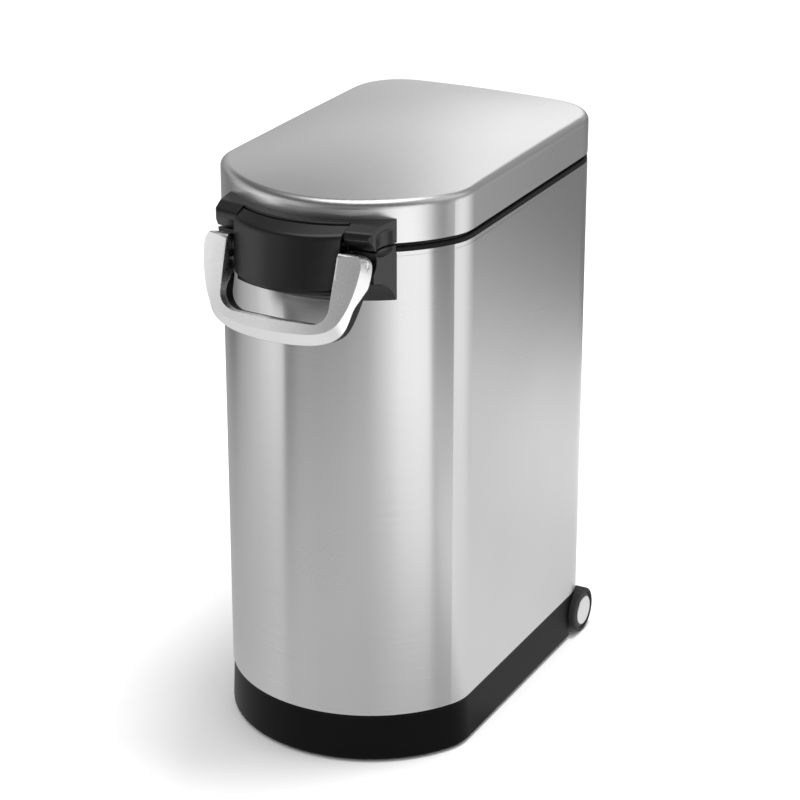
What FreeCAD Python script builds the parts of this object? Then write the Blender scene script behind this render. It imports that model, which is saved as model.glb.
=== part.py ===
"""Pet food bin: steel shell and lid, plastic base with wheels, lock handle, inner bucket, scoop.

Millimetres. +Z is up, -Y is the front, and X is the width. Shapes are drawn with the bin's body
centred on Y = 0; every node is then moved along Y so that the whole object's box is centred.
"""
import FreeCAD
import Part
import math
import os

V = FreeCAD.Vector

# ---------------------------------------------------------------- driving dimensions
WIDTH = 260.0
DEPTH = 404.4
FRONT_R = 141.0            # plan radius of the rounded front
FRONT_CORNER_R = 53.0
REAR_CORNER_R = 56.0
REAR_R = 886.0             # the back is nearly flat
SHEET = 0.6                # shell sheet thickness
BASE_TOP = 50.0
SHELL_LOW = 51.8
RIM_TOP = 70.0             # the base's rim inside the shell
SHELL_TOP = 526.6
COLLAR_TOP = 531.0
LID_LOW = 535.0
LID_EDGE = 573.5           # height of the lid's top edge before the roll
LID_ROLL = 8.0
LID_CROWN = 9.0            # extra height of the lid's middle
LID_SHEET = 0.8
FOOT_LIFT = 1.5            # rubber feet stand out below the base

WHEEL_R = 24.0
WHEEL_Y = 164.3
WHEEL_Z = WHEEL_R + 0.5    # the wheels clear the floor until the bin is tilted
WHEEL_IN = 116.5
WHEEL_OUT = 136.5
WHEEL_CAP_R = 15.6
AXLE_R = 3.0
RUN_GAP = 0.05             # radial clearance of a pin that turns in its hole

HINGE_Y = 209.5
HINGE_Z = 529.0
HINGE_PIN_R = 2.5
KNUCKLE_R = 6.2
HINGE_HALF = 62.0
LID_KNUCKLES = ((-47.0, -11.0), (11.0, 47.0))
BODY_KNUCKLES = ((-62.0, -48.0), (-10.0, 10.0), (48.0, 62.0))

BRACKET_LOW = 481.0
BRACKET_SPLIT = 533.8      # top of the bracket's lower half
BRACKET_GAP = 2.2          # height of the split between its halves
BRACKET_TOP = 558.0
BRACKET_HALF = 86.6        # half width where it meets the shell
WING_HALF = 80.8           # half width at its front
WING_FRONT = -211.2
WING_INNER = -217.4        # front of a wing at its inner end, x = 50
POCKET_HALF = 56.2         # the handle arms hang outside this half width
PANEL_HALF = 55.0
PANEL_WALL = 3.0
PANEL_LOW = 501.0
SHOULDER = 549.5           # height where the panel's face turns into its top flange

PIVOT_Y = -218.5           # the handle's pivot in the bracket
PIVOT_Z = 526.3
PIVOT_R = 2.2
LINK_DROP = 14.0           # the latch plate's pivot hangs this far below the handle's
LINK_R = 1.8
BAIL_LEAN = 17.5           # degrees: the hanging handle's face leans out at the bottom
BAIL_FACE = 14.3           # its face stands this far ahead of the pivot
BAIL_BOW = 600.0           # plan radius of its slightly bowed face
BAIL_LENGTH = 69.7         # from the pivot down to the bar's lower front edge
BAIL_SWEEP = 15.8          # clearance radius of its upper ends about the pivot
ARM_INNER = 57.0
ARM_OUTER = 80.4
ARM_MIDDLE = 68.0
BAIL_DEPTH = 24.0
ARM_DEPTH = 22.5           # depth of the silver shell round the pivot,
BAR_DEPTH = 9.5            # and along the bar
FLARE_DEPTH = 8.0          # the outline grows from the face to this far behind it,
BAR_FLARE = 6.6            # by this much along the bar

SCOOP_Y = -40.0
BUCKET_TOP = 531.0
SCREW_HEAD_R = 3.2

LEAN = math.radians(BAIL_LEAN)
BOW_SAG = ARM_MIDDLE ** 2 / (2 * BAIL_BOW)
FRONT_EDGE = BAIL_LENGTH - BAR_FLARE * BOW_SAG / FLARE_DEPTH
FRONT_REACH = -PIVOT_Y + BAIL_FACE + BOW_SAG * math.cos(LEAN) + FRONT_EDGE * math.sin(LEAN)
REAR_REACH = HINGE_Y + KNUCKLE_R
SHIFT = V(0, (FRONT_REACH - REAR_REACH) / 2, 0)

FRONT_Y = -DEPTH / 2 + FRONT_R                      # centre of the front arc
REAR_Y = DEPTH / 2 - REAR_R                         # centre of the rear arc
FRONT_CX = WIDTH / 2 - FRONT_CORNER_R
FRONT_CY = FRONT_Y - math.sqrt((FRONT_R - FRONT_CORNER_R) ** 2 - FRONT_CX ** 2)
REAR_CX = WIDTH / 2 - REAR_CORNER_R
REAR_CY = REAR_Y + math.sqrt((REAR_R - REAR_CORNER_R) ** 2 - REAR_CX ** 2)


# ---------------------------------------------------------------- drawing helpers
def arc(x, y, radius, start, end, z):
    """Arc of a circle in a level plane, between two angles in radians."""
    circle = Part.Circle(V(x, y, z), V(0, 0, 1), radius)
    return Part.ArcOfCircle(circle, start, end).toShape()


def outline(grow=0.0, z=0.0):
    """The bin's plan outline, moved outward by grow, at height z."""
    front = math.atan2(FRONT_Y - FRONT_CY, FRONT_CX)
    rear = math.atan2(REAR_CY - REAR_Y, REAR_CX)
    half = WIDTH / 2 + grow
    corner = FRONT_CORNER_R + grow
    back = REAR_CORNER_R + grow
    pi = math.pi
    return Part.Wire([
        Part.makeLine(V(half, FRONT_CY, z), V(half, REAR_CY, z)),
        arc(REAR_CX, REAR_CY, back, 0, rear, z),
        arc(0, REAR_Y, REAR_R + grow, rear, pi - rear, z),
        arc(-REAR_CX, REAR_CY, back, pi - rear, pi, z),
        Part.makeLine(V(-half, REAR_CY, z), V(-half, FRONT_CY, z)),
        arc(-FRONT_CX, FRONT_CY, corner, pi, pi + front, z),
        arc(0, FRONT_Y, FRONT_R + grow, pi + front, 2 * pi - front, z),
        arc(FRONT_CX, FRONT_CY, corner, 2 * pi - front, 2 * pi, z),
    ])


def prism(grow, low, high):
    """Solid of the outline between two heights."""
    return Part.Face(outline(grow, low)).extrude(V(0, 0, high - low))


def ring(outer, inner, low, high):
    """Wall between two offsets of the outline."""
    return prism(outer, low, high).cut(prism(inner, low - 1, high + 1))


def taper(low_grow, low, high_grow, high):
    """Solid between two offsets of the outline at two heights."""
    return Part.makeLoft([outline(low_grow, low), outline(high_grow, high)], True, True)


def box(x0, x1, y0, y1, z0, z1):
    return Part.makeBox(x1 - x0, y1 - y0, z1 - z0, V(x0, y0, z0))


def rod(axis, radius, start, end, u, v):
    """Cylinder along an axis from start to end; u and v are its other two coordinates."""
    base = {"x": V(start, u, v), "y": V(u, start, v), "z": V(u, v, start)}[axis]
    way = {"x": V(1, 0, 0), "y": V(0, 1, 0), "z": V(0, 0, 1)}[axis]
    return Part.makeCylinder(radius, end - start, base, way)


def rounded_wire(corners, place):
    """Closed wire through (a, b, radius) corners; place turns (a, b) into a point in space."""
    points = [V(a, b, 0) for a, b, _ in corners]
    edges = []
    ends = []
    for i, (_, _, radius) in enumerate(corners):
        here, before, after = points[i], points[i - 1], points[(i + 1) % len(points)]
        to_before = (before - here).normalize()
        to_after = (after - here).normalize()
        half = to_before.getAngle(to_after) / 2
        reach = radius / math.tan(half)
        first = here + to_before * reach
        last = here + to_after * reach
        centre_way = (to_before + to_after).normalize()
        middle = here + centre_way * (radius / math.sin(half) - radius)
        ends.append((first, middle, last, radius))
    for i, (first, middle, last, radius) in enumerate(ends):
        if radius > 0:
            edges.append(Part.Arc(place(first), place(middle), place(last)).toShape())
        following = ends[(i + 1) % len(ends)][0]
        if (following - last).Length > 1e-6:
            edges.append(Part.makeLine(place(last), place(following)))
    return Part.Wire(edges)


def slab_x(corners, low, high):
    """Side profile of (y, z, radius) corners, extruded across the width."""
    wire = rounded_wire(corners, lambda p: V(low, p.x, p.y))
    return Part.Face(wire).extrude(V(high - low, 0, 0))


def slab_y(corners, low, high):
    """Front profile of (x, z, radius) corners, extruded front to back."""
    wire = rounded_wire(corners, lambda p: V(p.x, low, p.y))
    return Part.Face(wire).extrude(V(0, high - low, 0))


def slab_z(corners, low, high):
    """Plan of (x, y, radius) corners, extruded upward."""
    wire = rounded_wire(corners, lambda p: V(p.x, p.y, low))
    return Part.Face(wire).extrude(V(0, 0, high - low))


def both_sides(shape):
    """A shape and its mirror image in X, as a list."""
    return [shape, shape.mirror(V(0, 0, 0), V(1, 0, 0))]


def join(shapes):
    whole = shapes[0].multiFuse(shapes[1:]) if len(shapes) > 1 else shapes[0]
    return whole.removeSplitter()


def cut_all(shape, tools):
    return shape.cut(Part.makeCompound(tools))


def edges_at(shape, test):
    """Edges whose middle point and shape pass a test."""
    return [edge for edge in shape.Edges if test(edge.CenterOfMass)]


def screw(tip, way, length, shank_r, head_r=SCREW_HEAD_R, head_h=2.2):
    """Pan-head screw with a cross recess; tip is the shank's end, way points to the head."""
    shank = Part.makeCylinder(shank_r, length)
    head = Part.makeCylinder(head_r, head_h, V(0, 0, length))
    head = head.makeFillet(head_h * 0.5, edges_at(head, lambda p: p.z > length + head_h - 0.01))
    slots = [Part.makeBox(a, b, head_h, V(-a / 2, -b / 2, length + head_h * 0.45))
             for a, b in ((0.8, 3.6), (3.6, 0.8))]
    solid = cut_all(join([shank, head]), slots)
    solid.Placement = FreeCAD.Placement(tip, FreeCAD.Rotation(V(0, 0, 1), way))
    return solid


def bow(apex, x_end, y_end, back, z):
    """Plan section with a bowed front and a straight back edge, as a wire at height z."""
    left, mid, right = V(-x_end, y_end, z), V(0, apex, z), V(x_end, y_end, z)
    far_right, far_left = V(x_end, back, z), V(-x_end, back, z)
    return Part.Wire([Part.Arc(left, mid, right).toShape(), Part.makeLine(right, far_right),
                      Part.makeLine(far_right, far_left), Part.makeLine(far_left, left)])


def bow_block(apex, x_end, y_end, back, low, high):
    return Part.Face(bow(apex, x_end, y_end, back, low)).extrude(V(0, 0, high - low))


# ---------------------------------------------------------------- body
def steel_shell():
    """Tube of sheet steel with a small bead along its top edge."""
    wall = ring(0, -SHEET, SHELL_LOW, SHELL_TOP)
    groove = ring(1, -0.3, SHELL_TOP - 4.2, SHELL_TOP - 3.2)
    wall = wall.cut(groove)
    return cut_all(wall, screw_rods(bracket_screw_places() + hinge_screw_places(), 2.1))


def floor_plate():
    """Steel floor of the shell, resting on the base's rim."""
    plate = prism(-SHEET - 0.1, RIM_TOP, RIM_TOP + SHEET)
    return cut_all(plate, [rod("z", 1.6, 60, 80, x, y) for x, y in BASE_SCREW_PLACES])


def front_point(x, grow, z):
    """Point on the front arc at x, with the outward direction there."""
    radius = FRONT_R + grow
    point = V(x, FRONT_Y - math.sqrt(radius ** 2 - x ** 2), z)
    return point, (point - V(0, FRONT_Y, z)).normalize()


def bracket_screw_places():
    return [front_point(x, 0, 495.0) for x in (-46.0, -18.0, 18.0, 46.0)]


def rear_point(x, z):
    """Point on the rear arc at x, with the outward direction there."""
    point = V(x, REAR_Y + math.sqrt(REAR_R ** 2 - x ** 2), z)
    return point, (point - V(0, REAR_Y, z)).normalize()


def hinge_screw_places():
    return [rear_point(x, 497.0) for x in (-48.0, -17.0, 17.0, 48.0)]


def screw_rods(places, radius, reach=9.0):
    """Clearance cylinders along the screws' lines."""
    return [Part.makeCylinder(radius, 2 * reach, point - way * reach, way) for point, way in places]


def inside_screws(places, wall, length, shank_r):
    """Screws driven outward from inside a wall of the given thickness."""
    seat = wall + 0.12
    return [screw(point + way * (length - seat), way * -1, length, shank_r) for point, way in places]


BASE_SCREW_PLACES = [(s * 96.0, y) for s in (-1, 1) for y in (-62.0, 92.0)]
FOOT_PLACES = [(s * x, y) for x, y in ((62.0, -140.0), (74.0, 118.0)) for s in (-1, 1)]
FOOT_R = 11.0


def base_tray():
    """Hollow plastic base: skirt, deck, rim inside the shell, wheel wells, axle ribs, foot bosses."""
    outer = taper(0.6, FOOT_LIFT, -1.2, BASE_TOP)
    outer = outer.makeFillet(4.0, edges_at(outer, lambda p: p.z < FOOT_LIFT + 0.01))
    shape = outer.cut(prism(-4.4, 0, BASE_TOP - 3.5))
    parts = [shape, ring(-SHEET - 0.1, -SHEET - 3.2, BASE_TOP - 1, RIM_TOP)]
    parts += [rod("z", 6.0, BASE_TOP - 1, RIM_TOP, x, y) for x, y in BASE_SCREW_PLACES]
    for x, y in FOOT_PLACES:
        parts.append(rod("z", FOOT_R, FOOT_LIFT, BASE_TOP - 2, x, y))
    form = prism(-1.5, FOOT_LIFT, BASE_TOP)
    well_wall = box(108.5, 140, WHEEL_Y - 29.5, 203, 6, BASE_TOP)
    parts += [wall.common(form) for wall in both_sides(well_wall)]
    for x in (-60.0, 0.0, 60.0):
        parts.append(box(x - 1.5, x + 1.5, WHEEL_Y - 22, WHEEL_Y + 22, 12, BASE_TOP - 2))
    whole = join(parts)
    well = join([rod("x", WHEEL_R + 1.5, 112.5, 145, WHEEL_Y, WHEEL_Z),
                 box(112.5, 145, WHEEL_Y - WHEEL_R - 1.5, 230, -5, WHEEL_Z),
                 box(112.5, 145, WHEEL_Y, 230, -5, WHEEL_Z + WHEEL_R + 1.5)])
    tools = both_sides(well) + [rod("x", AXLE_R + 0.02, -150, 150, WHEEL_Y, WHEEL_Z)]
    for x, y in FOOT_PLACES:
        tools.append(rod("z", FOOT_R - 2, 0, 4.0, x, y))
    tools += [rod("z", 1.6, 0, 80, x, y) for x, y in BASE_SCREW_PLACES]
    tools += [rod("z", 3.4, 0, RIM_TOP - 6, x, y) for x, y in BASE_SCREW_PLACES]
    return cut_all(whole, tools)


def rubber_feet():
    pads = []
    for x, y in FOOT_PLACES:
        pad = rod("z", FOOT_R - 2.1, 0, 4.0, x, y)
        pads.append(pad.makeFillet(0.6, edges_at(pad, lambda p: p.z < 0.01)))
    return Part.makeCompound(pads)


def base_screws():
    """Driven up from below through the base's bosses into the floor plate."""
    return Part.makeCompound([screw(V(x, y, RIM_TOP + SHEET), V(0, 0, -1), SHEET + 6.0, 1.5)
                              for x, y in BASE_SCREW_PLACES])


def wheel_axle():
    return rod("x", AXLE_R, -133.4, 133.4, WHEEL_Y, WHEEL_Z)


def axle_clips():
    """Retaining ring near each end of the axle, inside the hub's outer recess."""
    clip = rod("x", 6.0, 131.4, 132.4, WHEEL_Y, WHEEL_Z)
    clip = clip.cut(rod("x", AXLE_R + 0.01, 130, 134, WHEEL_Y, WHEEL_Z))
    clip = clip.cut(box(130, 134, WHEEL_Y - 1.6, WHEEL_Y + 1.6, WHEEL_Z - 8, WHEEL_Z))
    return Part.makeCompound(both_sides(clip))


def top_collar():
    """Plastic rim on the shell: visible band, ledge for the bucket, skirt inside the shell."""
    band = ring(-0.5, -5.4, SHELL_TOP, COLLAR_TOP)
    band = band.makeFillet(1.4, edges_at(band, lambda p: p.z > COLLAR_TOP - 0.01))
    ledge = ring(-SHEET - 0.2, -9.8, 524.0, COLLAR_TOP - 3.2)
    skirt = ring(-SHEET - 0.2, -3.4, 508.0, 524.5)
    whole = join([band, ledge, skirt])
    grips = both_sides(box(119.5, WIDTH / 2 - 5.4, -32, 32, 520, 528.0))
    return cut_all(whole, grips)


def inner_bucket():
    """Removable bucket with a slight taper and a rim that sits on the collar's ledge."""
    def form(inset, low):
        sections = [outline(-24 - inset, low), outline(-16.5 - inset, low + 9),
                    outline(-11.2 - inset, BUCKET_TOP + (1 if inset else -2))]
        return Part.makeLoft(sections, True, True)
    rim = ring(-5.9, -12.0, BUCKET_TOP - 3, BUCKET_TOP)
    rim = rim.makeFillet(1.0, edges_at(rim, lambda p: p.z > BUCKET_TOP - 0.01))
    return join([form(0, 72.0), rim]).cut(form(2.0, 74.2))


def cove(reach, radius, height):
    """Round hollow that follows the shell's front under the bracket."""
    return Part.makeTorus(FRONT_R + reach, radius, V(0, FRONT_Y, height))


def bracket_plan(low, high):
    """Plan of the bracket: ends slanting in towards a slightly bowed front."""
    right = [(BRACKET_HALF, -150, 0), (BRACKET_HALF, -172, 30), (WING_HALF, WING_FRONT, 5),
             (50.0, WING_INNER, 0)]
    left = [(-x, y, radius) for x, y, radius in reversed(right)]
    return slab_z(left + right, low, high)


def lock_bracket():
    """Lower half of the front bracket: cheeks behind the handle's arms, a core with pivot lugs
    behind the latch plate, and a lip under it."""
    top = BRACKET_SPLIT
    side = slab_x([(-150, BRACKET_LOW, 0), (-150, top, 0), (-207.5, top, 1.5), (-207.5, 500, 30),
                   (-204.0, BRACKET_LOW, 0)], -100, 100)
    cheeks = bracket_plan(BRACKET_LOW, top).common(side)
    cheeks = cut_all(cheeks, [cove(31.5, 31.0, 475.0)] + both_sides(side_scoop()))
    cheeks = cut_all(cheeks, arm_pockets())
    core = box(-POCKET_HALF, POCKET_HALF, -212.0, -170, PANEL_LOW - 1, BRACKET_SPLIT)
    lip = bow_block(-237.5, 50.0, -225.0, -190, 494.3, PANEL_LOW - 0.7)
    lip = lip.makeFillet(2.0, edges_at(lip, lambda p: p.y < -226 and abs(p.x) < 1))
    under = bow_block(-228.0, 50.0, -214.0, -170, BRACKET_LOW, 497).cut(cove(24.0, 23.8, 467.5))
    lugs = both_sides(slab_x([(-205, 520, 0), (-205, 531.5, 0), (PIVOT_Y - 3.6, 531.5, 3.6),
                              (PIVOT_Y - 3.6, 520, 3.6)], 46.0, POCKET_HALF + 0.2))
    whole = join([cheeks, core, lip, under] + lugs)
    tools = [prism(0.0, 400, SHELL_TOP), prism(0.5, SHELL_TOP - 1, 600)]
    tools += [rod("x", PIVOT_R + 0.02, 40, 90, PIVOT_Y, PIVOT_Z)]
    tools += [rod("x", PIVOT_R + 0.02, -90, -40, PIVOT_Y, PIVOT_Z)]
    tools += screw_rods(bracket_screw_places(), 1.5, 8.6)
    return cut_all(whole, tools)


def arm_pockets():
    """Round pockets that the handle's upper ends turn in."""
    return both_sides(rod("x", BAIL_SWEEP, POCKET_HALF + 0.5, ARM_OUTER + 2.2, PIVOT_Y, PIVOT_Z))


def side_scoop():
    """Shallow upright finger hollow across the bracket's right-hand end faces."""
    x, y, foot, head, radius = 106.2, -194.5, 531.8, 548.6, 26.0
    end = Part.makeSphere(radius)
    flatten = FreeCAD.Matrix()
    flatten.scale(1.0, 1.0, 0.3)
    end = end.transformGeometry(flatten)
    ends = [end.translated(V(x, y, z)) for z in (foot, head)]
    return join([rod("z", radius, foot, head, x, y)] + ends)


def bracket_backplate():
    plate = ring(-SHEET, -SHEET - 1.6, 485.0, 506.0)
    plate = plate.common(box(-58, 58, -230, -150, 480, 510))
    return cut_all(plate, screw_rods(bracket_screw_places(), 1.6))


def bracket_screws():
    return Part.makeCompound(inside_screws(bracket_screw_places(), SHEET + 1.6, 10.0, 1.45))


def handle_pivot_pins():
    """Headed pins through the handle's arms into the bracket's lugs."""
    pin = rod("x", PIVOT_R, 47.0, ARM_OUTER - 1.4, PIVOT_Y, PIVOT_Z)
    return Part.makeCompound(both_sides(pin))


def hinge_housing():
    """Black block on the shell's back with three knuckles."""
    block = slab_x([(195, 486, 0), (195, 519.5, 0), (214.5, 519.5, 3), (214.5, 496, 8),
                    (203, 486, 3)], -HINGE_HALF, HINGE_HALF)
    ends = slab_y([(-HINGE_HALF, 486, 8), (HINGE_HALF, 486, 8), (HINGE_HALF, 540, 0),
                   (-HINGE_HALF, 540, 0)], 190, 220)
    parts = [block.common(ends)]
    for x0, x1 in BODY_KNUCKLES:
        parts.append(rod("x", KNUCKLE_R, x0, x1, HINGE_Y, HINGE_Z))
        parts.append(box(x0, x1, HINGE_Y - KNUCKLE_R, HINGE_Y + 5.0, 518, HINGE_Z - 3))
    tools = [prism(0.0, 400, 600), rod("x", HINGE_PIN_R + 0.02, -70, 70, HINGE_Y, HINGE_Z)]
    tools += screw_rods(hinge_screw_places(), 1.5, 9.5)
    return cut_all(join(parts), tools)


def hinge_backplate():
    plate = ring(-SHEET, -SHEET - 1.6, 488.0, 506.0).common(box(-58, 58, 150, 230, 480, 510))
    return cut_all(plate, screw_rods(hinge_screw_places(), 1.6))


def hinge_screws():
    return Part.makeCompound(inside_screws(hinge_screw_places(), SHEET + 1.6, 10.0, 1.45))


def hinge_pin():
    return rod("x", HINGE_PIN_R, -HINGE_HALF + 0.5, HINGE_HALF - 0.5, HINGE_Y, HINGE_Z)


# ---------------------------------------------------------------- wheels
def wheel_pieces():
    """Right-hand tyre, hub and cap."""
    disc = rod("x", WHEEL_R, WHEEL_IN, WHEEL_OUT - 0.8, WHEEL_Y, WHEEL_Z)
    disc = disc.makeFillet(2.2, edges_at(disc, lambda p: p.x > WHEEL_OUT - 1 or p.x < WHEEL_IN + 0.1))
    tyre = disc.cut(rod("x", 19.5, 100, 150, WHEEL_Y, WHEEL_Z))
    hub = rod("x", 19.4, WHEEL_IN + 1.5, WHEEL_OUT - 1.8, WHEEL_Y, WHEEL_Z)
    hub = hub.makeFillet(1.0, edges_at(hub, lambda p: p.x > WHEEL_OUT - 1.9))
    hub = cut_all(hub, [rod("x", AXLE_R + RUN_GAP, 100, 150, WHEEL_Y, WHEEL_Z),
                        rod("x", 8.0, 131.0, 140, WHEEL_Y, WHEEL_Z),
                        rod("x", WHEEL_CAP_R + 0.2, WHEEL_OUT - 2.6, 140, WHEEL_Y, WHEEL_Z)])
    cap = rod("x", WHEEL_CAP_R, WHEEL_OUT - 2.6, WHEEL_OUT, WHEEL_Y, WHEEL_Z)
    cap = cap.makeFillet(1.2, edges_at(cap, lambda p: p.x > WHEEL_OUT - 0.1))
    return {"tyre": tyre, "hub": hub, "cap": cap}


# ---------------------------------------------------------------- lid
def lid_form(inset):
    """Outer form of the lid, or its inner form moved in by the sheet thickness."""
    reach_x, reach_y = WIDTH / 2, DEPTH / 2
    columns, rows = 9, 13
    grid = []
    for i in range(columns):
        x = -1.15 * reach_x + 2.3 * reach_x * i / (columns - 1)
        row = []
        for j in range(rows):
            y = -1.15 * reach_y + 2.3 * reach_y * j / (rows - 1)
            rise = (1 - (x / reach_x) ** 2) * (1 - (y / reach_y) ** 2)
            row.append(V(x, y, LID_EDGE - inset + LID_CROWN * rise))
        grid.append(row)
    surface = Part.BSplineSurface()
    surface.interpolate(grid)
    above = surface.toShape().extrude(V(0, 0, 60))
    block = prism(-inset, LID_LOW - (1 if inset else 0), LID_EDGE + LID_CROWN + 5).cut(above)
    rim = edges_at(block, lambda p: p.z > LID_EDGE - 6 and abs(p.x) + abs(p.y) > 60)
    rim = [edge for edge in rim if abs(edge.BoundBox.ZLength) < 5]
    return block.makeFillet(LID_ROLL - inset, rim)


def lid_screw_places():
    return [front_point(x, 0, 550.5) for x in (-66.0, -20.0, 20.0, 66.0)]


def lid_shell():
    """Pressed steel cover: skirt, rolled edge and shallow dome, with a slot for the hinge."""
    cover = lid_form(0.0).cut(lid_form(LID_SHEET))
    slot = box(-50, 50, 190, 210, 542.4, 547.2)
    return cut_all(cover, [slot] + screw_rods(lid_screw_places(), 2.0, 4.0))


def leaf_screw_places():
    return [(V(x, 178.0, 546.7), V(0, 0, 1)) for x in (-36.0, -12.0, 12.0, 36.0)]


def lid_liner():
    """Plastic inner lid: plate, upstand inside the skirt and a plug ring in the bucket's mouth."""
    plate = prism(-LID_SHEET - 0.1, 540.0, 542.5)
    upstand = ring(-LID_SHEET - 0.1, -LID_SHEET - 2.4, 536.2, 540.5)
    plug = ring(-14.5, -17.0, 523.5, 540.5)
    boss = rod("z", 16.0, 538.0, 540.5, 0, SCOOP_Y)
    whole = join([plate, upstand, plug, boss])
    holes = [rod("z", 1.5, 530, 545, point.x, point.y) for point, _ in leaf_screw_places()]
    return cut_all(whole, holes)


def lid_seal():
    """Soft ring above the bucket's rim."""
    seal = ring(-6.5, -11.5, 531.4, 540.0)
    seal = seal.makeFillet(1.5, edges_at(seal, lambda p: p.z < 531.5))
    return seal


def slot_block(back, low, high, ease=0.0):
    """Region behind the bowed line where the latch plate's flange ends."""
    return bow_block(-217.0 - ease, 60.0, -198.4 - ease, back, low, high)


def lid_bracket():
    """Upper half of the front bracket: ridge along the skirt, a ledge under the latch plate's
    flange, and a wing over each handle arm."""
    low = BRACKET_SPLIT + BRACKET_GAP
    wire = rounded_wire([(-140, low, 0), (-140, BRACKET_TOP, 0), (-203, BRACKET_TOP, 8),
                         (WING_INNER, 552.8, 5), (WING_INNER, 547.0, 2.5), (-210.8, low, 1)],
                        lambda p: V(50.0, p.x, p.y))
    slant = (WING_FRONT - WING_INNER) / (WING_HALF - 50.0)
    wing = Part.Face(wire).extrude(V(60.0, 60.0 * slant, 0))
    plan = bracket_plan(530, 562)
    wings = join([plan.common(side) for side in both_sides(wing)])
    middle = box(-POCKET_HALF + 0.4, POCKET_HALF - 0.4, -260, -150, 500, 600)
    wings = cut_all(wings.cut(middle), both_sides(side_scoop()) + arm_pockets())
    ridge = slot_block(-150, low, BRACKET_TOP).common(middle)
    ridge = ridge.makeFillet(1.2, edges_at(ridge, lambda p: p.z > BRACKET_TOP - 0.01 and p.y < -203))
    filler = box(-POCKET_HALF + 0.3, POCKET_HALF - 0.3, -202.0, -150, low, BRACKET_TOP)
    ledge = bow_block(-232.0, 50.0, -217.6, -190, 540.0, 560).common(latch_top(3.7))
    whole = join([wings, ridge, filler, ledge])
    tools = [prism(0.0, 500, 600)] + screw_rods(lid_screw_places(), 1.5, 8.6)
    return cut_all(whole, tools)


def lid_bracket_screws():
    return Part.makeCompound(inside_screws(lid_screw_places(), LID_SHEET, 8.0, 1.45))


def lid_hinge_leaf():
    """Leaf on top of the liner, out through the skirt's slot and down to two knuckles."""
    leaf = box(-49.5, 49.5, 168, HINGE_Y, 542.7, 546.7)
    leaf = leaf.makeFillet(6.0, edges_at(leaf, lambda p: p.y < 168.1 and abs(p.x) > 49))
    web = slab_x([(202.8, 529, 0), (202.8, 546.7, 0), (212.2, 546.7, 4), (214.6, 529, 0)], -49.5, 49.5)
    parts = [leaf]
    tools = [rod("x", HINGE_PIN_R + RUN_GAP, -70, 70, HINGE_Y, HINGE_Z)]
    for x0, x1 in LID_KNUCKLES:
        parts.append(rod("x", KNUCKLE_R, x0, x1, HINGE_Y, HINGE_Z))
        parts.append(web.common(box(x0, x1, 200, 220, 520, 560)))
    parts.append(web.common(box(-47.0, 47.0, 200, 220, 537.5, 560)))
    tools += [rod("z", 1.5, 530, 548, point.x, point.y) for point, _ in leaf_screw_places()]
    whole = join(parts)
    gap_tools = [box(x0 - 0.6, x1 + 0.6, 195, 220, 500, 537.5) for x0, x1 in BODY_KNUCKLES]
    return cut_all(whole, tools + gap_tools)


def leaf_screws():
    return Part.makeCompound([screw(point - way * 6.2, way, 6.2, 1.45)
                              for point, way in leaf_screw_places()])


def scoop_holder():
    """Shallow cup under the liner that holds the magnet."""
    cup = rod("z", 15.8, 532.8, 538.0, 0, SCOOP_Y)
    cup = cup.makeFillet(1.0, edges_at(cup, lambda p: p.z < 532.9))
    return cup.cut(rod("z", 12.1, 532.0, 536.0, 0, SCOOP_Y))


def holder_magnet():
    return rod("z", 12.0, 532.9, 536.0, 0, SCOOP_Y)


# ---------------------------------------------------------------- handle
def bail_frame():
    """The hanging handle's directions down its arms and into its face, and its face's origin."""
    down = V(0, -math.sin(LEAN), -math.cos(LEAN))
    inward = V(0, math.cos(LEAN), -math.sin(LEAN))
    return down, inward, V(0, PIVOT_Y - BAIL_FACE, PIVOT_Z)


def bail_place(shape):
    """Move a shape drawn flat (X across, Y down the handle, Z into it) to its hanging place."""
    down, inward, origin = bail_frame()
    across = down.cross(inward)
    turn = FreeCAD.Matrix(across.x, down.x, inward.x, origin.x, across.y, down.y, inward.y, origin.y,
                          across.z, down.z, inward.z, origin.z, 0, 0, 0, 1)
    return shape.transformGeometry(turn)


# Right half of the U's outer edge as (across, down): on the face, and FLARE_DEPTH behind it.
FACE_EDGE = [(69.0, -14.0), (76.8, -12.0), (80.1, -6.0), (80.0, 4.0), (78.3, 15.5), (75.0, 28.5),
             (68.3, 45.1), (59.9, 56.8), (47.6, 63.8), (26.0, 68.1), (0.0, BAIL_LENGTH)]
REAR_EDGE = [(69.0, -14.0), (76.8, -12.0), (80.3, -6.0), (80.6, 4.0), (79.0, 16.0), (76.0, 29.5),
             (71.0, 47.8), (64.2, 61.2), (50.5, 69.8), (27.0, 74.8), (0.0, BAIL_LENGTH + BAR_FLARE)]


def bail_outline(depth):
    """Outer outline of the U at a depth behind its face; it grows with depth."""
    share = depth / FLARE_DEPTH
    right = [V(a[0] + (b[0] - a[0]) * share, a[1] + (b[1] - a[1]) * share, depth)
             for a, b in zip(FACE_EDGE, REAR_EDGE)]
    left = [V(-p.x, p.y, p.z) for p in reversed(right[:-1])]
    curve = Part.BSplineCurve()
    curve.interpolate(right + left)
    return Part.Wire([curve.toShape(), Part.makeLine(left[-1], right[0])])


def bail_opening(ease):
    """The space inside the U."""
    half, low, end = ARM_INNER + ease, 56.2 + ease, 54.2 + ease
    return slab_z([(-half, -40, 0), (half, -40, 0), (half, 0, 20), (low, 36.0, 0.0), (low, end, 17 + ease),
                   (0, end + 1.3, 60), (-low, end, 17 + ease), (-low, 36.0, 0.0), (-half, 0, 20)], -10, 40)


def bail_profile(corners):
    """Side profile of (down, depth, radius) corners, across the handle's width."""
    wire = rounded_wire(corners, lambda p: V(-100, p.x, p.y))
    return Part.Face(wire).extrude(V(200, 0, 0))


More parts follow.
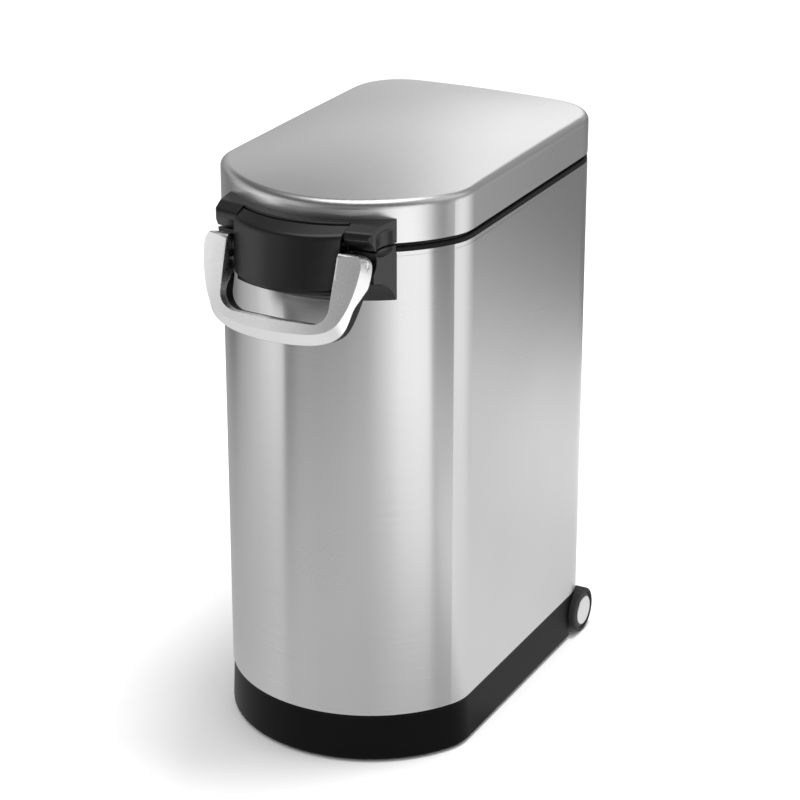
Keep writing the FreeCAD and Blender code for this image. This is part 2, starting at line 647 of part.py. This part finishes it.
def pin_holes(radius_pivot, radius_link, reach):
    """Bores for the pivot pins, and for the link pins out to a distance from the middle."""
    return [rod("x", radius_pivot, -100, 100, PIVOT_Y, PIVOT_Z),
            rod("x", radius_link, -reach, reach, PIVOT_Y, PIVOT_Z - LINK_DROP)]


def handle_shell():
    """Silver front and sides of the U-shaped handle."""
    form = Part.makeLoft([bail_outline(-6.0), bail_outline(ARM_DEPTH + 0.5)], True, True)
    profile = bail_profile([(-13.0, -1.0, 5.0), (12, -1.0, 0), (26, -7, 0), (90, -7, 0),
                            (90, BAR_DEPTH, 0), (35, BAR_DEPTH, 14), (16, ARM_DEPTH, 8),
                            (-13.0, ARM_DEPTH, 7)])
    bow_form = Part.makeCylinder(BAIL_BOW, 140, V(0, -40, BAIL_BOW - BOW_SAG), V(0, 1, 0))
    shape = form.cut(bail_opening(0)).common(profile).common(bow_form)
    shape = bail_place(shape)
    recess = both_sides(rod("x", 4.8, ARM_OUTER - 1.2, 90, PIVOT_Y, PIVOT_Z))
    holes = [Part.makeCylinder(1.5, 17.5, point - way * 16.5, way) for point, way in grip_screw_places()]
    return cut_all(shape, recess + holes + pin_holes(PIVOT_R + RUN_GAP, LINK_R + 0.01, 70.0))


def handle_grip():
    """Black back of the handle."""
    front = bail_outline(FLARE_DEPTH)
    rear = bail_outline(FLARE_DEPTH)
    rear.translate(V(0, 0, BAIL_DEPTH - FLARE_DEPTH))
    form = Part.makeLoft([front, rear], True, True)
    seam = BAR_DEPTH + 0.1
    profile = bail_profile([(20.0, 19.95, 0), (35.1, seam, 14), (90, seam, 0), (90, 20.0, 0),
                            (62, BAIL_DEPTH - 0.5, 12), (24, BAIL_DEPTH - 0.5, 3)])
    shape = form.cut(bail_opening(0.8)).common(profile)
    shape = bail_place(shape)
    holes = []
    for point, way in grip_screw_places():
        holes.append(Part.makeCylinder(1.5, 20, point - way * 18, way))
        holes.append(Part.makeCylinder(3.5, 5, point - way * 2.6, way))
    return cut_all(shape, holes + pin_holes(PIVOT_R + RUN_GAP, LINK_R + 0.01, 70.0))


def grip_screw_places():
    """On the grip's back, driven forward into the silver shell."""
    down, inward, origin = bail_frame()
    return [(origin + V(x, 0, 0) + down * 37.0 + inward * (BAIL_DEPTH - 0.5), inward)
            for x in (-64.5, 64.5)]


def handle_screws():
    return Part.makeCompound([screw(point - way * 15.0, way, 12.5, 1.45)
                              for point, way in grip_screw_places()])


def latch_link_pins():
    pin = rod("x", LINK_R, 50.6, 66.0, PIVOT_Y, PIVOT_Z - LINK_DROP)
    return Part.makeCompound(both_sides(pin))


# ---------------------------------------------------------------- latch plate
def latch_front(inset):
    """Bowed upright form of the latch plate's face."""
    grow = 6.0 / (SHOULDER - PANEL_LOW)
    over = 562.0 - SHOULDER
    lower = bow(-243.0 + inset, 52.5, -226.4 + inset, -150, PANEL_LOW)
    upper = bow(-237.0 + inset + grow * over, 55.6, -221.0 + inset + grow * over, -150, 562.0)
    return Part.makeLoft([lower, upper], True, True)


def latch_top(inset):
    """Form under the sloping top of the latch plate."""
    axis_y = -120.0
    low, rear = SHOULDER - inset, BRACKET_TOP - 1.0 - inset
    points = [V(0, axis_y, 480), V(0, -260, 480), V(0, -260, low - 7.5),
              V(0, -217.0, rear), V(0, -200.0, rear + 3.0), V(0, axis_y, rear + 3.0)]
    wire = Part.makePolygon(points + [points[0]])
    form = Part.Face(wire).revolve(V(0, axis_y, 0), V(0, 0, 1), 180)
    form.rotate(V(0, axis_y, 0), V(0, 0, 1), -90)
    return form


def latch_panel():
    """Black front plate with a top flange over the lid bracket's ledge and two pivot ears."""
    window = slab_y([(-54.9, PANEL_LOW, 10), (54.9, PANEL_LOW, 10), (PANEL_HALF, 570, 0),
                     (-PANEL_HALF, 570, 0)], -260, -150)
    outer = latch_front(0.0).common(latch_top(0.0))
    shoulder = [e for e in outer.Edges if e.BoundBox.YMin < -235 and e.BoundBox.ZMin > 540
                and e.BoundBox.YMax < -215]
    outer = outer.makeFillet(6.0, shoulder).common(window)
    outer = outer.cut(slot_block(-140, 480, 570, 2.0))
    inner = latch_front(PANEL_WALL).common(latch_top(PANEL_WALL))
    plate = outer.cut(inner)
    ears = both_sides(rod("x", 4.5, 50.6, 54.4, PIVOT_Y, PIVOT_Z - LINK_DROP))
    webs = both_sides(box(50.6, 54.4, -224.0, PIVOT_Y, PIVOT_Z - LINK_DROP - 4.5,
                          PIVOT_Z - LINK_DROP + 4.5))
    whole = join([plate] + ears + webs)
    relief = slab_x([(-200, 515, 0), (-200, 536, 0), (PIVOT_Y - 4.1, 536, 4),
                     (PIVOT_Y - 4.1, 515, 4)], 45.0, 60)
    tools = [rod("x", LINK_R + RUN_GAP, -60, 60, PIVOT_Y, PIVOT_Z - LINK_DROP)] + both_sides(relief)
    return cut_all(whole, tools)


# ---------------------------------------------------------------- scoop
def scoop():
    """Rectangular scoop, stored mouth down, with a flat handle towards the back."""
    def bowl(inset, low, top):
        def section(x, y0, y1, z):
            return rounded_wire([(-x, y0, 14), (x, y0, 14), (x, y1, 14), (-x, y1, 14)],
                                lambda p: V(p.x, p.y, z))
        return Part.makeLoft([section(40 - inset, SCOOP_Y - 66 + inset, SCOOP_Y + 46 - inset, low),
                              section(33 - inset, SCOOP_Y - 56 + inset, SCOOP_Y + 38 - inset, top)],
                             True, True)
    shell = bowl(0, 484.0, 532.4).cut(bowl(2.0, 482.0, 530.0))
    handle = slab_z([(-13, SCOOP_Y + 36, 0), (13, SCOOP_Y + 36, 0), (11, SCOOP_Y + 140, 10.5),
                     (-11, SCOOP_Y + 140, 10.5)], 524.0, 530.0)
    handle = handle.makeFillet(1.5, edges_at(handle, lambda p: p.y > SCOOP_Y + 45 and p.z < 524.1))
    whole = join([shell, handle.cut(bowl(1.0, 482, 534))])
    return whole.cut(rod("z", 12.1, 531.2, 540, 0, SCOOP_Y))


def scoop_keeper_disc():
    return rod("z", 12.0, 531.2, 532.3, 0, SCOOP_Y)


# ---------------------------------------------------------------- export
def build():
    nodes = {
        "steel_shell": steel_shell(), "floor_plate": floor_plate(), "base_tray": base_tray(),
        "rubber_feet": rubber_feet(), "base_screws": base_screws(), "wheel_axle": wheel_axle(),
        "axle_clips": axle_clips(),
        "top_collar": top_collar(), "inner_bucket": inner_bucket(), "lock_bracket": lock_bracket(),
        "bracket_backplate": bracket_backplate(), "bracket_screws": bracket_screws(),
        "handle_pivot_pins": handle_pivot_pins(), "hinge_housing": hinge_housing(),
        "hinge_backplate": hinge_backplate(), "hinge_screws": hinge_screws(),
        "hinge_pin": hinge_pin(),
        "lid_shell": lid_shell(), "lid_liner": lid_liner(), "lid_seal": lid_seal(),
        "lid_bracket": lid_bracket(), "lid_bracket_screws": lid_bracket_screws(),
        "lid_hinge_leaf": lid_hinge_leaf(), "leaf_screws": leaf_screws(),
        "scoop_holder": scoop_holder(), "holder_magnet": holder_magnet(),
        "handle_shell": handle_shell(), "handle_grip": handle_grip(),
        "handle_screws": handle_screws(), "latch_link_pins": latch_link_pins(),
        "latch_panel": latch_panel(), "scoop": scoop(), "scoop_keeper_disc": scoop_keeper_disc(),
    }
    for name, piece in wheel_pieces().items():
        for side, shape in zip(("right", "left"), both_sides(piece)):
            nodes["wheel_" + side + "_" + name] = shape
    return nodes


os.makedirs("parts", exist_ok=True)
for node, solid in build().items():
    solid = solid.copy()
    solid.translate(SHIFT)
    if not solid.isValid():
        print("not valid:", node)
    solid.exportStep("parts/" + node + ".step")
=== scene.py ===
"""Pet food bin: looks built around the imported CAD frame. Metres, +Z up, front is -Y."""
import bpy
import math
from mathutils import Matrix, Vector


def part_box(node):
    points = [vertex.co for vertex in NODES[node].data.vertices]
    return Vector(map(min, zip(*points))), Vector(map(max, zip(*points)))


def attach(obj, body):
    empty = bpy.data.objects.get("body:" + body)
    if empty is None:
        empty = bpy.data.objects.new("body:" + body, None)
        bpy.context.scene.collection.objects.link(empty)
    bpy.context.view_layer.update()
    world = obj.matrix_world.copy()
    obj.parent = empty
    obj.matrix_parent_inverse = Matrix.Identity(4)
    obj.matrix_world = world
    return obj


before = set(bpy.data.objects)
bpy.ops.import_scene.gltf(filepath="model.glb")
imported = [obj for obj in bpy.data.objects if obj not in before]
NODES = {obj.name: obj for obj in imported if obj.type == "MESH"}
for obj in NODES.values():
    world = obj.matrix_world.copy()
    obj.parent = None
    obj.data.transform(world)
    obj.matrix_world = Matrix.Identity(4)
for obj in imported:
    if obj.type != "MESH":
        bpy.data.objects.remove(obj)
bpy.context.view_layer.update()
SCENE = bpy.context.scene

SHELL_LOW, SHELL_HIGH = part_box("steel_shell")
BODY_CENTRE = (SHELL_LOW + SHELL_HIGH) / 2

# The camera looks at the body's upright axis from the front right and above. Angles in degrees.
CAMERA_AZIMUTH = 27.452
CAMERA_ELEVATION = 22.559
CAMERA_DISTANCE = 2.660
CAMERA_AIM_HEIGHT = 0.302
CAMERA_LENS = 119.64
CAMERA_SENSOR = 36.0

FLOOR_SIZE = 16.0
FLOOR_SHIFT = 2.0
FLOOR_SHADE = 0.90
FLOOR_ROUGHNESS = 0.8
WORLD_STRENGTH = 1.0

# The one lamp hangs almost overhead, so that the shadow stays close to the base.
LAMP_AZIMUTH = 110
LAMP_ELEVATION = 81
LAMP_DISTANCE = 3.0
LAMP_SIZE = 0.9
LAMP_POWER = 66
LAMP_AIM_HEIGHT = 0.3


# ---------------------------------------------------------------- camera, floor and light
def way(azimuth, elevation):
    """Unit vector towards an azimuth (0 is the front, 90 degrees the right) and elevation."""
    a, e = math.radians(azimuth), math.radians(elevation)
    return Vector((math.sin(a) * math.cos(e), -math.cos(a) * math.cos(e), math.sin(e)))


def add(name, data):
    """Link new data into the scene as an object."""
    thing = bpy.data.objects.new(name, data)
    SCENE.collection.objects.link(thing)
    return thing


def make_camera():
    """Camera at the photograph's angle, aimed at the body's upright axis."""
    data = bpy.data.cameras.new("camera")
    data.lens = CAMERA_LENS
    data.sensor_width = CAMERA_SENSOR
    camera = add("camera", data)
    back = way(CAMERA_AZIMUTH, CAMERA_ELEVATION)
    aim = Vector((BODY_CENTRE.x, BODY_CENTRE.y, CAMERA_AIM_HEIGHT))
    camera.location = aim + back * CAMERA_DISTANCE
    camera.rotation_euler = (-back).to_track_quat("-Z", "Y").to_euler()
    SCENE.camera = camera


def make_floor():
    """Pale square floor, unseen in reflections."""
    mesh = bpy.data.meshes.new("floor")
    half = FLOOR_SIZE / 2
    mesh.from_pydata([(-half, -half, 0), (half, -half, 0), (half, half, 0), (-half, half, 0)],
                     [], [(0, 1, 2, 3)])
    mesh.materials.append(plain("floor", FLOOR_SHADE, FLOOR_ROUGHNESS))
    floor = add("floor", mesh)
    floor.location = (0, FLOOR_SHIFT, 0)
    floor.visible_glossy = False


def make_lamp():
    """Square soft lamp that lights the bin but doesn't show in reflections."""
    data = bpy.data.lights.new("light_key", "AREA")
    data.shape = "RECTANGLE"
    data.size = LAMP_SIZE
    data.size_y = LAMP_SIZE
    data.energy = LAMP_POWER
    lamp = add("light_key", data)
    target = Vector((BODY_CENTRE.x, BODY_CENTRE.y, LAMP_AIM_HEIGHT))
    lamp.location = target + way(LAMP_AZIMUTH, LAMP_ELEVATION) * LAMP_DISTANCE
    lamp.rotation_euler = (target - lamp.location).to_track_quat("-Z", "Y").to_euler()
    lamp.visible_glossy = False


# What the steel mirrors, by compass bearing round the bin (0 is the front, 90 degrees its
# right side). NEAR, MID and FAR are the brightness of the floor close by, further out and at
# the edge of the set. WALL, HIGH and TOP are the boards there: low, at the lid's height, up high.
# NEAR, MID, FAR and WALL come from a program's least-squares fit to the photograph's grey
# levels, thinned and then changed. HIGH and TOP were set against grey levels.
NEAR_TONES = [(-115, 0.62), (-60, 0.68), (-30, 0.76), (10, 0.73), (40, 0.60), (68, 0.62),
              (80, 1.00), (115, 1.03), (153, 0.97)]
MID_TONES = [(-115, 0.58), (-95, 0.63), (-65, 0.78), (-48, 0.65), (-37, 0.66), (-27, 0.86),
             (10, 1.00), (37, 0.84), (57, 1.35), (69, 1.35), (74, 1.80), (84, 1.60),
             (92, 1.10), (135, 1.02), (148, 1.35)]
FAR_TONES = [(-115, 0.35), (-99, 0.14), (-93, 0.20), (-87, 0.40), (-70, 0.74), (-58, 1.05),
             (-39, 1.60), (-35, 0.02), (-29, 0.00), (-18, 0.32), (10, 0.58), (25, 0.92),
             (37, 1.50), (47, 1.85), (69, 1.65), (72, 0.00), (86, 0.00), (92, 1.38),
             (112, 1.32), (127, 1.00), (143, 0.42), (153, 0.27)]
WALL_TONES = [(-115, 0.35), (-99, 0.16), (-93, 0.30), (-87, 0.54), (-70, 0.78), (-58, 1.00),
              (-46, 1.40), (-40, 0.55), (-34, 0.40), (-26, 0.85), (-12, 0.30), (10, 0.12),
              (25, 0.15), (37, 0.90), (47, 1.60), (69, 1.65), (72, 0.00), (86, 0.00),
              (92, 1.38), (112, 1.32), (127, 1.00), (143, 0.42), (153, 0.27)]
HIGH_TONES = [(-177, 1.00), (-170, 1.60), (-161, 1.58), (-153, 1.02), (-145, 0.88),
              (-120, 0.55), (-60, 0.70), (-42, 0.95), (-28, 0.62), (-14, 0.34), (0, 0.30),
              (120, 0.40), (150, 0.35), (170, 0.55)]
TOP_TONES = [(-175, 0.80), (-169, 1.32), (-161, 1.22), (-153, 0.38), (-145, 0.25),
             (-120, 0.14), (50, 0.12), (85, 0.90), (130, 0.90), (150, 0.30), (170, 0.35)]

# A colour ramp holds 0 to 1, so tones are divided by the scale going in and multiplied by it after.
TONE_SCALE = 2.0

# The set: a round table with boards at its edge and a ceiling. Each pair is where one tone
# has started to fade into the next and where it has gone: radii on the table and ceiling,
# heights on the boards.
SET_RADIUS = 1.6
SET_HEIGHT = 3.0
SET_STEPS = 96
NEAR_TO_MID = (0.45, 0.70)
MID_TO_FAR = (0.90, 1.15)
FLOOR_TO_WALL = (0.08, 0.25)
WALL_TO_HIGH = (0.70, 0.92)
HIGH_TO_TOP = (1.20, 1.55)
TOP_TO_CEILING = (SET_HEIGHT - 0.02, SET_HEIGHT - 0.01)
CEILING_FADE = (0.9, 1.2)
CEILING_TONE = 2.7
CEILING_EDGE_TONE = 0.4


def tone_ramp(made, bearing, tones):
    """Brightness by bearing, from a list of (degrees, brightness)."""
    ramp = made.node("ShaderNodeValToRGB")
    ramp.color_ramp.interpolation = "LINEAR"
    stops = ramp.color_ramp.elements
    while len(stops) > 1:
        stops.remove(stops[-1])
    for index, (degrees, tone) in enumerate(tones):
        place = (degrees + 180) / 360
        stop = stops[0] if index == 0 else stops.new(place)
        stop.position = place
        stop.color = [tone / TONE_SCALE] * 3 + [1]
    made.link(bearing, ramp.inputs["Fac"])
    return made.calculate("MULTIPLY", ramp.outputs["Color"], TONE_SCALE)


def surround_material():
    """Glow of the set, from its tone tables."""
    made = Maker("surround")
    made.tree.nodes.remove(made.shader)
    coordinates = made.node("ShaderNodeTexCoord")
    split = made.node("ShaderNodeSeparateXYZ")
    made.link(coordinates.outputs["Object"], split.inputs["Vector"])
    x, y, z = (split.outputs[axis] for axis in "XYZ")
    bearing = made.calculate("ARCTAN2", x, made.calculate("MULTIPLY", y, -1.0))
    bearing = made.ramp(bearing, -math.pi, math.pi, 0.0, 1.0)
    x_squared = made.calculate("MULTIPLY", x, x)
    y_squared = made.calculate("MULTIPLY", y, y)
    radius = made.calculate("SQRT", made.calculate("ADD", x_squared, y_squared))
    near, mid, far, wall, high, top = (
        tone_ramp(made, bearing, tones) for tones in
        (NEAR_TONES, MID_TONES, FAR_TONES, WALL_TONES, HIGH_TONES, TOP_TONES))
    ceiling = made.ramp(radius, *CEILING_FADE, CEILING_TONE, CEILING_EDGE_TONE)
    tone = near
    for measure, (start, end), following in (
            (radius, NEAR_TO_MID, mid), (radius, MID_TO_FAR, far), (z, FLOOR_TO_WALL, wall),
            (z, WALL_TO_HIGH, high), (z, HIGH_TO_TOP, top), (z, TOP_TO_CEILING, ceiling)):
        tone = made.blend(made.ramp(measure, start, end, 0.0, 1.0), tone, following)
    made.material.cycles.emission_sampling = "NONE"
    glow = made.node("ShaderNodeEmission")
    made.link(tone, glow.inputs["Strength"])
    made.link(glow.outputs["Emission"], made.tree.nodes["Material Output"].inputs["Surface"])
    return made.material


def make_surround():
    """Round table, boards and ceiling that only reflections see."""
    steps = SET_STEPS
    mesh = bpy.data.meshes.new("surround")
    turns = [2 * math.pi * i / steps for i in range(steps)]
    circle = [(SET_RADIUS * math.sin(t), SET_RADIUS * math.cos(t)) for t in turns]
    points = [(x, y, 0) for x, y in circle] + [(x, y, SET_HEIGHT) for x, y in circle]
    faces = [list(range(steps)), list(range(steps, 2 * steps))]
    faces += [(i, (i + 1) % steps, steps + (i + 1) % steps, steps + i) for i in range(steps)]
    mesh.from_pydata(points, [], faces)
    mesh.materials.append(surround_material())
    surround = add("surround", mesh)
    surround.location = (BODY_CENTRE.x, BODY_CENTRE.y, 0.0)
    surround.visible_camera = False
    surround.visible_diffuse = False
    surround.visible_transmission = False
    surround.visible_shadow = False


def make_stage():
    """Floor, white world, lamp and the set for reflections."""
    make_floor()
    world = bpy.data.worlds.new("studio")
    SCENE.world = world
    world.use_nodes = True
    sky = world.node_tree.nodes["Background"]
    sky.inputs["Color"].default_value = (1, 1, 1, 1)
    sky.inputs["Strength"].default_value = WORLD_STRENGTH
    make_lamp()
    SCENE.view_settings.view_transform = "Standard"
    make_surround()


# ---------------------------------------------------------------- materials
# The part of a noise's 0 to 1 range that its values mostly fill.
NOISE_LOW = 0.3
NOISE_HIGH = 0.7

# Noise scales in cycles per metre: few along the brushing and many across it.
ALONG_BRUSHING = 8
ACROSS_BRUSHING = 1100
HANDLING_MARKS = (9, 9, 7)

# Cosines: of the turn between a face and its softened edge, and of a face's tilt from level.
EDGE_STARTS = 0.995
EDGE_FULL = 0.9
SLOPE_STARTS = 0.6
SLOPE_FULL = 0.8

# Share of a full turn from the round-the-body tangent to the way that reflections spread.
SPREAD_TURN = 0.25


class Maker:
    """Small helper that adds and links shader nodes in one material."""

    def __init__(self, name):
        self.material = bpy.data.materials.new(name)
        self.material.use_nodes = True
        self.tree = self.material.node_tree
        self.shader = self.tree.nodes["Principled BSDF"]

    def node(self, kind, **values):
        made = self.tree.nodes.new(kind)
        for key, value in values.items():
            setattr(made, key, value)
        return made

    def link(self, source, target):
        self.tree.links.new(source, target)

    def set(self, **values):
        """Constant values on the shader's own sockets. The color is one number, a grey."""
        names = {"color": "Base Color", "metallic": "Metallic", "roughness": "Roughness",
                 "anisotropic": "Anisotropic", "turn": "Anisotropic Rotation",
                 "specular": "Specular IOR Level"}
        for key, value in values.items():
            if key == "color":
                value = (value, value, value, 1)
            self.shader.inputs[names[key]].default_value = value

    def place(self, scale):
        """Object coordinates, stretched."""
        coordinates = self.node("ShaderNodeTexCoord")
        mapping = self.node("ShaderNodeMapping")
        mapping.inputs["Scale"].default_value = scale
        self.link(coordinates.outputs["Object"], mapping.inputs["Vector"])
        return mapping.outputs["Vector"]

    def noise(self, scale, detail, roughness=0.5):
        """Noise whose size is set per axis, in cycles per metre."""
        made = self.node("ShaderNodeTexNoise")
        made.inputs["Scale"].default_value = 1.0
        made.inputs["Detail"].default_value = detail
        made.inputs["Roughness"].default_value = roughness
        self.link(self.place(scale), made.inputs["Vector"])
        return made.outputs["Fac"]

    def ramp(self, source, low, high, to_low, to_high):
        """The span low..high taken to to_low..to_high, held at both ends."""
        made = self.node("ShaderNodeMapRange")
        for name, value in (("From Min", low), ("From Max", high), ("To Min", to_low),
                            ("To Max", to_high)):
            made.inputs[name].default_value = value
        self.link(source, made.inputs["Value"])
        return made.outputs["Result"]

    def blend(self, factor, a, b):
        """Mix of two numbers or sockets."""
        made = self.node("ShaderNodeMix", data_type="FLOAT")
        self.put(made.inputs[0], factor)
        self.put(made.inputs[2], a)
        self.put(made.inputs[3], b)
        return made.outputs[0]

    def put(self, target, value):
        """Link a socket, or set a number."""
        if hasattr(value, "is_linked"):
            self.link(value, target)
        else:
            target.default_value = value

    def calculate(self, operation, a, b=0.0):
        """A sum on numbers or sockets."""
        made = self.node("ShaderNodeMath", operation=operation)
        self.put(made.inputs[0], a)
        self.put(made.inputs[1], b)
        return made.outputs[0]

    def grey(self, value):
        """A number as a neutral colour with the shader's base colour input."""
        made = self.node("ShaderNodeCombineColor")
        for channel in range(3):
            self.link(value, made.inputs[channel])
        self.link(made.outputs["Color"], self.shader.inputs["Base Color"])

    def rough(self, value):
        self.link(value, self.shader.inputs["Roughness"])

    def bump(self, height, strength, distance, edge_radius=0.0):
        """Relief from a height, with sharp edges softened to a radius."""
        made = self.node("ShaderNodeBump")
        if edge_radius:
            bevel = self.node("ShaderNodeBevel", samples=4)
            bevel.inputs["Radius"].default_value = edge_radius
            self.link(bevel.outputs["Normal"], made.inputs["Normal"])
        made.inputs["Strength"].default_value = strength
        made.inputs["Distance"].default_value = distance
        self.link(height, made.inputs["Height"])
        self.link(made.outputs["Normal"], self.shader.inputs["Normal"])

    def about(self, source, middle, spread):
        """A noise taken to values about the middle, by a share of it up and down."""
        return self.ramp(source, NOISE_LOW, NOISE_HIGH, middle * (1 - spread),
                         middle * (1 + spread))

    def facing_up(self):
        """1 where the surface faces up, 0 where it is upright."""
        geometry = self.node("ShaderNodeNewGeometry")
        split = self.node("ShaderNodeSeparateXYZ")
        self.link(geometry.outputs["Normal"], split.inputs["Vector"])
        return self.ramp(split.outputs["Z"], SLOPE_STARTS, SLOPE_FULL, 0.0, 1.0)

    def edges(self, radius):
        """1 along sharp edges, 0 on open faces."""
        bevel = self.node("ShaderNodeBevel", samples=3)
        bevel.inputs["Radius"].default_value = radius
        geometry = self.node("ShaderNodeNewGeometry")
        dot = self.node("ShaderNodeVectorMath", operation="DOT_PRODUCT")
        self.link(bevel.outputs["Normal"], dot.inputs[0])
        self.link(geometry.outputs["Normal"], dot.inputs[1])
        return self.ramp(dot.outputs["Value"], EDGE_STARTS, EDGE_FULL, 0.0, 1.0)


def plain(name, shade, roughness):
    """Matte board for the set."""
    made = Maker(name)
    made.set(color=shade, roughness=roughness, specular=0.1)
    return made.material


def brush(made, streak, shade, spread, roughness):
    """Brushed metal: colour and gloss vary with the streak, gloss also with handling marks."""
    marks = made.noise(HANDLING_MARKS, detail=2.0)
    made.grey(made.about(streak, shade, spread))
    handled = made.ramp(marks, 0.35, NOISE_HIGH, to_low=-0.01, to_high=0.01)
    made.rough(made.calculate("ADD", made.about(streak, roughness, spread=0.03), handled))
    made.set(metallic=1.0)


def brushed_steel(name, shade, roughness, stretch):
    """Satin steel brushed along level lines, which draws reflections out upright."""
    made = Maker(name)
    streak = made.noise((ALONG_BRUSHING, ALONG_BRUSHING, ACROSS_BRUSHING), detail=1.0)
    brush(made, streak, shade, spread=0.015, roughness=roughness)
    tangent = made.node("ShaderNodeTangent", direction_type="RADIAL", axis="Z")
    made.link(tangent.outputs["Tangent"], made.shader.inputs["Tangent"])
    made.set(anisotropic=stretch, turn=SPREAD_TURN)
    return made.material


def lid_steel(name, shade, roughness):
    """Satin steel brushed front to back on top and along level lines round the skirt."""
    made = Maker(name)
    top = made.noise((ACROSS_BRUSHING, ALONG_BRUSHING, ALONG_BRUSHING), detail=1.0)
    side = made.noise((ALONG_BRUSHING, ALONG_BRUSHING, ACROSS_BRUSHING), detail=1.0)
    streak = made.blend(made.facing_up(), side, top)
    brush(made, streak, shade, spread=0.02, roughness=roughness)
    return made.material


def satin_metal(name, shade, roughness):
    """Fine bead-blasted or plated metal, its edges softened."""
    made = Maker(name)
    grain = made.noise((1800,) * 3, detail=2.0)
    cloud = made.noise((30,) * 3, detail=3.0)
    made.grey(made.about(cloud, shade, spread=0.02))
    made.rough(made.about(grain, roughness, spread=0.1))
    made.bump(grain, strength=0.04, distance=0.00002, edge_radius=0.0007)
    made.set(metallic=1.0)
    return made.material


def moulded(name, shade, roughness, gloss=0.3, grain_count=1400, depth=0.00006):
    """Moulded plastic: fine spark texture, slight sheen changes, paler worn edges.

    grain_count is per metre, depth is the texture's relief.
    """
    made = Maker(name)
    grain = made.noise((grain_count,) * 3, detail=3.0, roughness=0.6)
    cloud = made.noise((22,) * 3, detail=4.0)
    edge = made.edges(radius=0.0012)
    worn_shade = shade * 1.5 + 0.004
    worn_roughness = roughness * 0.75
    made.grey(made.blend(edge, made.about(cloud, shade, spread=0.12), worn_shade))
    made.rough(made.blend(edge, made.about(grain, roughness, spread=0.15), worn_roughness))
    made.bump(grain, strength=0.35, distance=depth, edge_radius=0.0008)
    made.set(specular=gloss)
    return made.material


def rubber(name, shade):
    """Soft matte rubber with a dusty bloom."""
    made = Maker(name)
    grain = made.noise((900,) * 3, detail=4.0, roughness=0.65)
    bloom = made.noise((60,) * 3, detail=4.0)
    made.grey(made.ramp(bloom, NOISE_LOW, 0.75, to_low=shade * 0.8, to_high=shade * 1.35))
    made.rough(made.ramp(grain, NOISE_LOW, NOISE_HIGH, to_low=0.67, to_high=0.83))
    made.bump(grain, strength=0.3, distance=0.00008)
    made.set(specular=0.3)
    return made.material


def paint_nodes():
    """Give every CAD node its material. Nodes without an entry are zinc plated."""
    zinc = satin_metal("zinc_steel", shade=0.55, roughness=0.32)
    black = moulded("bracket_plastic", shade=0.003, roughness=0.34, gloss=0.5,
                    grain_count=800, depth=0.0001)
    by_node = {
        brushed_steel("brushed_steel", shade=0.60, roughness=0.26, stretch=0.98): ["steel_shell"],
        lid_steel("lid_steel", shade=0.60, roughness=0.31): ["lid_shell"],
        satin_metal("handle_silver", shade=0.94, roughness=0.26): ["handle_shell"],
        satin_metal("cap_silver", shade=0.70, roughness=0.38): ["wheel_right_cap",
                                                                "wheel_left_cap"],
        satin_metal("magnet", shade=0.6, roughness=0.2): ["holder_magnet"],
        moulded("base_plastic", shade=0.003, roughness=0.42, gloss=0.07): ["base_tray"],
        moulded("grip_plastic", shade=0.003, roughness=0.42, gloss=0.12): ["handle_grip"],
        moulded("collar_plastic", shade=0.006, roughness=0.5, gloss=0.15): ["top_collar"],
        moulded("liner_plastic", shade=0.09, roughness=0.5): ["lid_liner", "scoop_holder"],
        moulded("bucket_plastic", shade=0.11, roughness=0.48): ["inner_bucket"],
        moulded("scoop_plastic", shade=0.45, roughness=0.42): ["scoop"],
        moulded("hub_plastic", shade=0.03, roughness=0.5): ["wheel_right_hub", "wheel_left_hub"],
        rubber("seal_rubber", shade=0.16): ["lid_seal"],
        rubber("foot_rubber", shade=0.02): ["rubber_feet"],
        rubber("tyre_rubber", shade=0.022): ["wheel_right_tyre", "wheel_left_tyre"],
        black: ["lock_bracket", "lid_bracket", "latch_panel", "hinge_housing", "lid_hinge_leaf"],
    }
    chosen = {name: material for material, names in by_node.items() for name in names}
    for name, thing in NODES.items():
        thing.data.materials.clear()
        thing.data.materials.append(chosen.get(name, zinc))


# ---------------------------------------------------------------- added pieces
# Outline of a domed washer with a raised rim: (reach along the pin, radius), from the inside out.
PIN_HEAD = [(-0.0004, 0.0030), (-0.0004, 0.0038), (0.0003, 0.0039), (0.0008, 0.0036),
            (0.0011, 0.0030), (0.0010, 0.0027), (0.0007, 0.0024), (0.0008, 0.0012),
            (0.0009, 0.0004)]
TURNED_STEPS = 48


def turned(name, profile, centre, side, material):
    """Piece turned about the X axis from (reach, radius) points. Side is +1 or -1 along X."""
    steps = TURNED_STEPS
    mesh = bpy.data.meshes.new(name)
    points = []
    for reach, radius in profile:
        for i in range(steps):
            t = 2 * math.pi * i / steps
            points.append((centre.x + side * reach, centre.y + radius * math.sin(t),
                           centre.z + radius * math.cos(t)))
    faces = [[k * steps + i, k * steps + (i + 1) % steps, (k + 1) * steps + (i + 1) % steps,
              (k + 1) * steps + i] for k in range(len(profile) - 1) for i in range(steps)]
    faces += [list(range(steps)), list(range(len(points) - steps, len(points)))]
    if side > 0:
        faces = [face[::-1] for face in faces]
    mesh.from_pydata(points, [], faces)
    mesh.materials.append(material)
    for face in mesh.polygons:
        face.use_smooth = True
    return add(name, mesh)


def pin_heads():
    """Domed washers on the ends of the handle's pivot pins."""
    low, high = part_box("handle_pivot_pins")
    steel = satin_metal("pin_head_steel", shade=0.8, roughness=0.22)
    for label, side in (("right", 1), ("left", -1)):
        centre = Vector((side * high.x, (low.y + high.y) / 2, (low.z + high.z) / 2))
        head = turned("pin_head_" + label, PIN_HEAD, centre, side, steel)
        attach(head, "body")


make_camera()
make_stage()
paint_nodes()
pin_heads()
